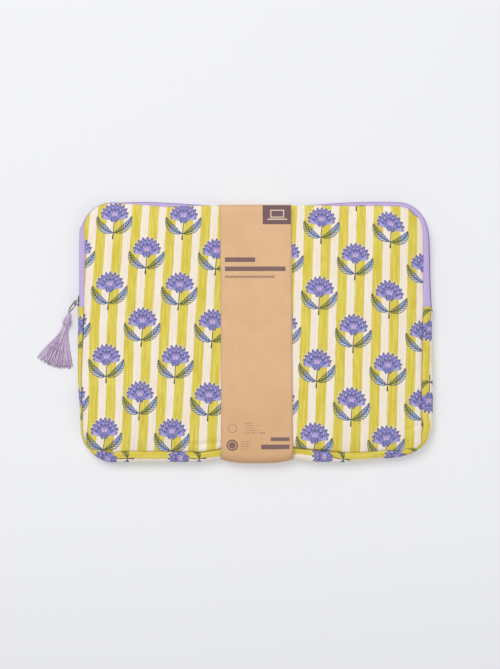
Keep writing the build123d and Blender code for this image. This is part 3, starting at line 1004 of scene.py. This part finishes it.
def gusset_section(place, depth=0.0, rows=32):
    """Rows of points round the padded edge, from the front seam over the rim to the back
    seam, at places round the rim, so far inside the outer cloth."""
    point, normal = rim.at(place)
    front = rim.inset(place, True) + depth * 0.3
    back = rim.inset(place, False) + depth * 0.3
    free = pinch(point[:, 0])
    share = np.linspace(0, 1, rows)
    share = (share - 0.08 * np.sin(share * 2 * math.pi))[:, None]
    turn = share * math.pi
    upper = turn <= math.pi / 2
    top, low = 15.9 * MM - depth, 2.3 * MM + depth
    reach = np.abs(np.sin(turn)) ** 0.9
    lift = np.sign(np.cos(turn)) * np.abs(np.cos(turn)) ** 0.9
    inset = np.where(upper, front, back) * (1 - reach) + depth * reach
    height = MIDDLE + lift * np.where(upper, top - MIDDLE, MIDDLE - low)
    edge = np.minimum(share * 28 * MM, (1 - share) * 28 * MM)
    dip = np.exp(-edge / (0.8 * MM)) * np.where(upper, 1, -1)
    covered = proud(point[:, 0], point[:, 1])
    height = height - (2.0 + 1.5 * covered) * MM * dip
    height = height - 1.3 * MM * covered * np.maximum(np.cos(turn), 0)
    gather = waves(place, (6.7 * MM, 9.1 * MM, 14 * MM, 23 * MM), 31)[None] * (0.35 + 0.65 * free)
    fade = np.exp(-edge / (4 * MM)) * (1 - np.abs(dip))
    height = height + 0.7 * MM * gather * fade * np.sign(np.cos(turn))
    inset = inset + (0.5 * (1 - free) - 0.25 * gather) * np.sin(turn) * MM
    height = np.maximum(height, 0.25 * MM + depth)
    flat = point[None] - normal[None] * inset[..., None]
    return np.concatenate([flat, height[..., None]], 2)


def gusset_piece(name, slot, depth, thickness):
    """One cloth layer of the gusset, its ends folded under to neat straight edges."""
    place = np.linspace(GUSSET_START, GUSSET_END, 640)
    grid = gusset_section(place, depth)
    middle = rim.seam(place, True, -2 * MM)
    walked = distances_along(middle)
    travel = (walked[-1] - walked - FIRST_FLOWER) / GUSSET_STRETCH + SPRIG_ALONG * MM
    across = SPRIG_ACROSS * MM + AXIS_DISTANCE - rows_apart(grid)
    fold = gusset_section(place[[0, -1]] + [0.6 * MM, -0.6 * MM], depth + 1.3 * MM)
    grid = np.concatenate([fold[:, :1], grid, fold[:, 1:]], 1)
    across = np.pad(across, ((0, 0), (1, 1)), mode="edge")
    travel = np.broadcast_to(np.pad(travel, 1, mode="edge"), across.shape)
    faces = [f[::-1] for f in grid_faces(*grid.shape[:2])]
    piece = make_piece(name, slot, grid, faces, np.stack([across, travel], -1))
    thicken(piece, thickness)
    return piece


gusset_panel = gusset_piece("gusset_panel", "printed_cotton", 0.0, CLOTH)
gusset_lining = gusset_piece("gusset_lining", "lining", LINING_GAP, LINING)
gusset_padding = gusset_piece("gusset_padding", "foam", 1.5 * MM, 2 * PAD_HALF)


# ============================================================ the zip

TAPE_INSET = 1.35 * MM  # of the zip's outer face from the rim
FRONT_SHIFT = 0.9 * MM  # how much further in the front tape lies, away from the slider
COIL_PITCH = 1.45 * MM
COIL_WIRE = 0.36 * MM
COIL_HALF = (1.15 * MM, 0.62 * MM)  # of a row's section: across the zip, and in its depth
ROW_OFFSET = 1.5 * MM  # of a row's middle from the middle of the zip
ZIP_TUCK = 7 * MM  # how far the tapes run on under the gusset's ends


def zip_inset(place, front):
    """How far one half of the zip lies inside the rim: the same for both halves along the
    slider's side, which is straight, and elsewhere the back's half shows beyond the front's."""
    away = 1 - smoothstep(rim.marks[3] - 60 * MM, rim.marks[3], np.mod(place, rim.length))
    point, normal = rim.at(place)
    beside_slider, _ = rim.at(np.array([rim.crossing(eye.y, False)]))
    straight = smoothstep(0.9, 1.0, -normal[:, 0]) * (beside_slider[0, 0] - point[:, 0])
    return TAPE_INSET + straight + away * (FRONT_SHIFT if front else -0.5 * MM)


def tape_piece(name, front):
    """One tape: from under its panel's seam out to the zip, and behind its row of coil. The
    levels are heights from the zip's middle."""
    sign = 1 if front else -1
    place = np.linspace(GUSSET_END - rim.length - ZIP_TUCK, GUSSET_START + ZIP_TUCK, 460)
    point, normal = rim.at(place)
    edge = zip_inset(place, front)
    seam = np.maximum(rim.inset(place, front), edge + 0.5 * MM)
    at_seam = 4.7 * MM if front else 5.6 * MM
    at_zip = 2.9 * MM
    rows = [(seam + 2.2 * MM, np.full(len(place), at_seam - 0.8 * MM))]
    unevenness = 0.2 * MM * waves(place, (13 * MM, 21 * MM, 37 * MM), 41)
    for share in np.linspace(0, 1, 12):
        ripple = unevenness * math.sin(share * math.pi)
        level = at_zip + (at_seam - at_zip) * max(0.0, 1 - share**3.0) ** 0.6
        groove = 0.5 * MM * math.exp(-share * 9)
        rows.append((seam + (edge - seam) * share**0.8, level - groove + ripple))
    behind = edge + 2 * COIL_HALF[1] + COIL_WIRE * 2
    for inset, z in ((edge + 0.5 * MM, 2.75), (behind, 2.6), (behind, 1.4), (behind, 0.25)):
        rows.append((inset, np.full(len(place), z * MM)))
    inset, level = (np.array(values) for values in zip(*rows))
    flat = point - normal * inset[..., None]
    grid = np.concatenate([flat, (MIDDLE + sign * level)[..., None]], 2)
    cloth = np.stack(np.broadcast_arrays(place, rows_apart(grid)), -1)
    faces = grid_faces(*grid.shape[:2])
    if front:
        faces = [f[::-1] for f in faces]
    piece = make_piece(name, "zip_tape", grid, faces, cloth)
    thicken(piece, 0.4 * MM)
    return piece


def coil_piece(name, front):
    """One row of coil: a flattened spiral along the tape's edge, half a pitch from its mate."""
    sign = 1 if front else -1
    low, high = rim.crossing(ZIP_END, True), rim.crossing(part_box("zip_coil_back")[0].y, False)
    turns = int((high - low) / COIL_PITCH)
    step = np.linspace(0, turns, turns * 9 + 1)
    place = low + (step + (0.5 if front else 0.0)) * COIL_PITCH
    point, normal = rim.at(place)
    spin = step * 2 * math.pi
    depth = zip_inset(place, front) + COIL_HALF[1] + COIL_WIRE - COIL_HALF[1] * np.cos(spin)
    z = MIDDLE + sign * (ROW_OFFSET - COIL_HALF[0] * np.sin(spin))
    path = np.concatenate([point - normal * depth[:, None], z[:, None]], 1)
    return tube_piece(name, "zip_coil", [tube(path, COIL_WIRE, 5)])


zip_tape_front = tape_piece("zip_tape_front", True)
zip_tape_back = tape_piece("zip_tape_back", False)
zip_coil_front = coil_piece("zip_coil_front", True)
zip_coil_back = coil_piece("zip_coil_back", False)


# ============================================================ the slider and the ring


def bevelled(name, solids, width):
    """One mesh of several outlines in the zip's plane, each with its depth, their edges
    rounded."""
    points, faces = [], []
    for outline, low, high in solids:
        start, count = len(points), len(outline)
        for level in (low, high):
            points += [(level, y, z) for y, z in outline]
        faces.append(tuple(start + i for i in range(count))[::-1])
        faces.append(tuple(start + count + i for i in range(count)))
        for i in range(count):
            j = (i + 1) % count
            faces.append((start + i, start + j, start + count + j, start + count + i))
    piece = make_piece(name, "metal", np.array(points), faces, np.zeros((len(points), 2)))
    modifier = piece.modifiers.new("edges", "BEVEL")
    modifier.width = width
    modifier.segments = 3
    modifier.angle_limit = math.radians(40)
    keep_modifiers(piece)
    return piece


slider_low, slider_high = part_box("slider_body")
PLATE = 1.2 * MM
PLATE_GAP = 2.4 * MM
outer_x = slider_high.x - 2 * PLATE - PLATE_GAP
SLIDER_HALF = (slider_high.z - slider_low.z) / 2
ARCH = 2.5 * MM  # the radius of the bridge's bend


def slider_half(share):
    """Half the slider's width, from its narrow end, 0, to its wide end, 1."""
    return SLIDER_HALF * float(0.78 + 0.22 * smoothstep(0.25, 0.75, share))


def slider_outline(side=None):
    """The plate's outline, or that of the rim along one of its long edges, 1 or -1."""
    points = []
    for share in np.linspace(0, 1, 11):
        y = slider_low.y + (slider_high.y - slider_low.y) * share
        end = 0.74 if share in (0.0, 1.0) else 1.0
        points.append((y, slider_half(share) * end))
    if side is None:
        return [(y, MIDDLE + z) for y, z in points + [(y, -z) for y, z in reversed(points)]]
    near = [(y, z - 0.9 * MM) for y, z in reversed(points[1:-1])]
    return [(y, MIDDLE + side * z) for y, z in points[1:-1] + near][::side]


def slider_piece():
    """The slider: two plates joined by a wedge, with rims that hold the rows of coil."""
    plate = slider_outline()
    wedge = [(0, 1.2), (-1.4, 1.3), (-4.2, 0), (-1.4, -1.3), (0, -1.2)]
    wedge = [(slider_high.y + y * MM, MIDDLE + z * MM) for y, z in wedge]
    solids = [
        (plate, outer_x, outer_x + PLATE),
        (plate, slider_high.x - PLATE, slider_high.x),
        (wedge, outer_x + PLATE * 0.6, slider_high.x - PLATE * 0.6),
    ]
    for side in (-1, 1):
        rim_line = slider_outline(side)
        solids.append((rim_line, outer_x + PLATE * 0.7, outer_x + PLATE + 0.55 * MM))
        solids.append((rim_line, slider_high.x - PLATE - 0.55 * MM, slider_high.x - PLATE * 0.7))
    return bevelled("slider_body", solids, 0.28 * MM)


def bridge_piece():
    """The arch on the slider's outer plate that the ring hangs from."""
    path = [(outer_x + 0.4 * MM, eye.y - ARCH)]
    for a in np.radians(np.linspace(-90, 90, 25)):
        path.append((eye.x + 0.35 * MM - ARCH * math.cos(a), eye.y + ARCH * math.sin(a)))
    path.append((outer_x + 0.4 * MM, eye.y + ARCH))
    rings, cloth = tube([(x, y, MIDDLE) for x, y in path], 0.48 * MM, 12)
    rings[..., 2] = MIDDLE + (rings[..., 2] - MIDDLE) * 2.1
    return tube_piece("slider_bridge", "metal", [(rings, cloth)])


def ring_piece():
    """The wire ring, through the slider's arch and the tassel's loop, closed by a butt joint.
    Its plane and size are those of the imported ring."""
    points = np.array([v.co for v in frame["nodes"]["pull_ring"].data.vertices])
    centre = (points.max(0) + points.min(0)) / 2
    first, second, over = np.linalg.svd(points - points.mean(0), full_matrices=False)[2]
    away = np.linalg.norm(points - centre, axis=1)
    radius = (away.max() + away.min()) / 2
    turn = np.linspace(0, 2 * math.pi, 97)
    out = np.cos(turn)[:, None] * first + np.sin(turn)[:, None] * second
    end = np.minimum(turn, 2 * math.pi - turn)
    wire = (away.max() - away.min()) / 2 * (1 - 0.15 * np.exp(-((end / 0.03) ** 2)))
    spin = np.arange(14)[None, :, None] * 2 * math.pi / 14
    section = np.cos(spin) * out[:, None] + np.sin(spin) * over[None, None]
    rings = (centre + radius * out)[:, None] + wire[:, None, None] * section
    return tube_piece("pull_ring", "metal", [(rings, np.zeros((*rings.shape[:2], 2)))])


slider_body = slider_piece()
slider_bridge = bridge_piece()
pull_ring = ring_piece()


# ============================================================ the tassel

random = np.random.default_rng(7)
far_point = np.array(joints["tassel_swing"]["pos_m"])
SKIRT_HEADING = math.radians(253.5)
SKIRT_SPREAD = math.radians(53)
SKIRT_LENGTH = 42 * MM
SKIRT_LAYERS = (40, 40, 34, 26, 16)  # how many threads each has, from the lowest
THREAD = 0.5 * MM
skirt_way = np.array([math.cos(SKIRT_HEADING), math.sin(SKIRT_HEADING), 0.0])
skirt_side = np.array([-skirt_way[1], skirt_way[0], 0.0])
up = np.array([0.0, 0.0, 1.0])
head = np.array(sum(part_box("tassel_head"), Vector()) / 2) + skirt_way * 1.6 * MM
neck = np.array(sum(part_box("tassel_wrap"), Vector()) / 2) + skirt_way * 1.6 * MM


def skirt_piece():
    """Loose threads that spread from the neck over the surface, in clumps and in layers."""
    tubes = []
    start = neck * [1, 1, 0] + up * 2.9 * MM
    t = np.linspace(0, 1, 14)
    for layer, count in enumerate(SKIRT_LAYERS):
        for k in range(count):
            share = (k + random.uniform(0.1, 0.9)) / count * 2 - 1
            clump = 0.055 * math.sin(share * 27 + layer * 0.7) + 0.03 * math.sin(share * 47 + layer)
            lean = (share * (0.98 - 0.05 * layer) + clump) * SKIRT_SPREAD / 2
            length = SKIRT_LENGTH * random.uniform(0.95, 1.01) - layer * 0.5 * MM
            side, phase = random.uniform(0.3, 1.3) * MM, random.uniform(0, 6.28)
            out = skirt_way * math.cos(lean) + skirt_side * math.sin(lean)
            sway = share * 3.0 * MM * np.exp(-t * 7) + side * np.sin(t * 5.5 + phase) * t
            path = start + out * (t * length)[:, None] + skirt_side * sway[:, None]
            round_ = math.sqrt(max(0.0, 1 - share * share))
            bed = (0.55 + layer * 0.8 * (0.35 + 0.65 * round_)) * MM
            hump = (2.4 * round_ + 0.1 * layer) * MM * np.exp(-t * 3.5)
            path[:, 2] = bed + hump + np.abs(0.5 * MM * np.sin(t * 6 + phase)) * t
            tubes.append(tube(path, THREAD * np.where(t > 0.97, 0.7, 1.0), 6))
    return tube_piece("tassel_skirt", "tassel_thread", tubes)


def head_piece():
    """The ball-shaped head: threads laid side by side round a soft core."""
    tubes = []
    top = head - skirt_way * 9.0 * MM
    axis = neck * [1, 1, 0] + up * 3.2 * MM - top
    side = np.cross(axis, up)
    side /= np.linalg.norm(side)
    over = np.cross(side, axis / np.linalg.norm(axis))
    t = np.linspace(0, 1, 17)
    profile = (0.9 + 3.0 * np.sin(math.pi * t**1.6) ** 0.85) * MM
    middle = top + t[:, None] * axis
    for k in range(30):
        turn = 2 * math.pi * (k + random.uniform(-0.3, 0.3)) / 30 + 0.6 * t
        bulge = profile * random.uniform(0.95, 1.05)
        ring = np.cos(turn)[:, None] * side + np.sin(turn)[:, None] * over
        tubes.append(tube(middle + ring * bulge[:, None], THREAD, 6))
    tubes.append(tube(middle, np.maximum(profile - 0.1 * MM, 0.6 * MM), 16))
    for rings, _ in tubes:
        rings[..., 2] = np.maximum(rings[..., 2], 0.2 * MM)
    return tube_piece("tassel_head", "tassel_thread", tubes)


def wrap_piece():
    """A few tight turns of thread round the neck."""
    turns = 5
    t = np.linspace(0, turns, turns * 22 + 1)
    spin = t * 2 * math.pi
    path = neck * [1, 1, 0] + up * 3.1 * MM + skirt_way * ((t / turns - 0.5) * 2.6 * MM)[:, None]
    path = path + (np.cos(spin)[:, None] * skirt_side + np.sin(spin)[:, None] * up) * 2.5 * MM
    return tube_piece("tassel_wrap", "tassel_thread", [tube(path, 0.36 * MM, 6)])


def loop_piece():
    """The loop of doubled thread from the head round the ring's wire."""
    start = head - skirt_way * 7.6 * MM + up * 0.4 * MM
    way = far_point - start
    length = np.linalg.norm(way)
    way /= length
    side = np.cross(way, up)
    side /= np.linalg.norm(side)
    t = np.linspace(0, 1, 41)
    reach = (length + 1.1 * MM) * np.sin(t * math.pi) ** 0.7
    spread = 1.2 * MM * np.cos(t * math.pi) * (0.35 + 0.65 * np.sin(t * math.pi) ** 0.55)
    path = start + way * reach[:, None] + side * spread[:, None]
    tubes = [tube(path + up * lift * MM, 0.40 * MM, 6) for lift in (-0.35, 0.4)]
    return tube_piece("tassel_loop", "tassel_thread", tubes)


tassel_skirt = skirt_piece()
tassel_head = head_piece()
tassel_wrap = wrap_piece()
tassel_loop = loop_piece()


# ============================================================ the card band

CARD = 0.5 * MM
LAP = 20 * MM  # of the glued ends, on the back


def band_path():
    """The band's middle line in side view, from one glued end round to the other, and the
    distance along it of the middle of its front."""
    top, low = band_high.z - CARD / 2, band_low.z + CARD / 2
    far = band_high.y - CARD / 2
    bend = (top - low) / 2 - 0.4 * MM

    def round_end(y, start):
        points = []
        for degrees in np.linspace(start, start + 180, 25)[1:]:
            level = top - bend if 0 <= degrees < 180 else low + bend
            a = math.radians(degrees)
            points.append((y + bend * math.cos(a), level + bend * math.sin(a)))
        return points

    path = [(-LAP / 2, low + CARD * 1.02), (LAP / 2, low + CARD * 1.02), (LAP / 2 + 3 * MM, low)]
    path += [(y, low) for y in np.linspace(20 * MM, far - bend, 24)]
    path += round_end(far - bend, -90)
    path += [(y, top) for y in np.linspace(far - bend, -far + bend, 81)[1:]]
    path += round_end(-far + bend, 90)
    path += [(y, low) for y in np.linspace(-far + bend, LAP / 2, 30)[1:]]
    path = np.array(path)
    along = distances_along(path)
    on_top = np.isclose(path[:, 1], top)
    middle = np.interp(0.0, path[on_top, 0][::-1], along[on_top][::-1])
    return path, middle - along


def band_piece():
    """One strip of card round the sleeve, a little askew, its ends glued together behind."""
    path, along = band_path()
    across = np.linspace(-BAND_HALF, BAND_HALF, 25)
    grid = np.zeros((len(path), len(across), 3))
    grid[..., 0] = across
    grid[..., 1:] = path[:, None]
    y, edge = grid[..., 1], np.abs(across / BAND_HALF)[None]
    grid[..., 2] -= 0.25 * MM * edge**2 * (grid[..., 2] > MIDDLE)
    grid[..., 1] = y + 4.0 * MM * edge**3 * smoothstep(-112 * MM, -129 * MM, y)
    grid[..., 0] += 0.5 * MM - 0.0055 * y
    cloth = np.stack(np.broadcast_arrays(across[None], along[:, None]), -1)
    faces = [f[::-1] for f in grid_faces(*grid.shape[:2])]
    piece = make_piece("kraft_band", "kraft_card", grid, faces, cloth)
    thicken(piece, CARD, 0.0)
    return piece


kraft_band = band_piece()


# ============================================================ what each piece stands for

BODIES = {
    "sleeve": [
        back_panel, back_padding, back_lining, gusset_panel, gusset_padding, gusset_lining,
        zip_tape_back, zip_coil_back,
    ],
    "zip_slider": [slider_body],
    "pull_ring": [pull_ring],
    "tassel": [tassel_skirt, tassel_head, tassel_wrap, tassel_loop],
    "kraft_band": [kraft_band],
}
for body, pieces in BODIES.items():
    for piece in pieces:
        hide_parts(piece["node"])
        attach(piece, body)
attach(slider_bridge, "zip_slider")

# The front's pieces go on no body and keep their transforms baked in, and the imported front parts and
# their corner parts are hidden.
for piece in (front_panel, front_padding, front_lining, zip_tape_front, zip_coil_front):
    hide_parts(piece["node"], piece["node"] + "_corner")
    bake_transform(piece)


# ============================================================ camera, light and floor

VIEW_HEIGHT = 0.676  # what the picture's height covers at the sleeve
CAMERA_DISTANCE = 1.75
CAMERA_TILT = math.radians(2.5)
VIEW_CENTRE = Vector((-0.0061, -0.0009, 0.010))

camera = put_in_scene("camera", bpy.data.cameras.new("camera"))
camera.data.sensor_width = 36.0
camera.data.lens = 36.0 * CAMERA_DISTANCE / VIEW_HEIGHT
back = Vector((0, -math.sin(CAMERA_TILT), math.cos(CAMERA_TILT)))
camera.location = VIEW_CENTRE + back * CAMERA_DISTANCE
camera.rotation_euler = (CAMERA_TILT, 0, 0)
bpy.context.scene.camera = camera


def light_table():
    """The pale floor's material: a diffusing sheet that is also lit from below, a little less
    towards the front, so that shadows on it are short and faint."""
    g = Graph("stage_floor", Roughness=0.9, Specular_IOR_Level=0.1)
    fade = g.ramp(g.position()[1], -140.0, -360.0)
    glow = g.mix(fade, (0.270, 0.276, 0.285, 1), (0.229, 0.235, 0.244, 1))
    g.bsdf.inputs["Emission Strength"].default_value = 1.0
    g.put(glow, g.bsdf.inputs["Emission Color"])
    return g.finish((0.585, 0.585, 0.595, 1))


floor_mesh = bpy.data.meshes.new("stage_floor")
floor_mesh.from_pydata([(-4, -4, 0), (4, -4, 0), (4, 4, 0), (-4, 4, 0)], [], [(0, 1, 2, 3)])
floor_mesh.materials.append(light_table())
floor = put_in_scene("stage_floor", floor_mesh)
floor.location.z = -0.1 * MM


def area_light(name, place, size, power):
    light = bpy.data.lights.new(name, "AREA")
    light.size, light.energy = size, power
    lamp = put_in_scene(name, light)
    lamp.location = place
    lamp.rotation_euler = (-Vector(place)).to_track_quat("-Z", "Y").to_euler()


def studio_light():
    """A large soft light from the top left, a weaker one from the right, and a room whose
    ceiling is darker than its walls."""
    area_light("key", (-0.75, 1.1, 2.4), 1.6, 47)
    area_light("fill", (1.2, -0.9, 2.4), 2.0, 16)
    world = bpy.data.worlds.new("world")
    bpy.context.scene.world = world
    world.use_nodes = True
    tree = world.node_tree
    place = tree.nodes.new("ShaderNodeTexCoord")
    split = tree.nodes.new("ShaderNodeSeparateXYZ")
    ramp = tree.nodes.new("ShaderNodeMapRange")
    tree.links.new(place.outputs["Generated"], split.inputs[0])
    tree.links.new(split.outputs[2], ramp.inputs["Value"])
    for socket, value in (("From Min", 0.2), ("From Max", 1.0), ("To Min", 0.50), ("To Max", 0.30)):
        ramp.inputs[socket].default_value = value
    background = tree.nodes["Background"]
    background.inputs[0].default_value = (0.98, 0.985, 1.0, 1)
    tree.links.new(ramp.outputs[0], background.inputs[1])


studio_light()
bpy.context.scene.view_settings.view_transform = "Standard"
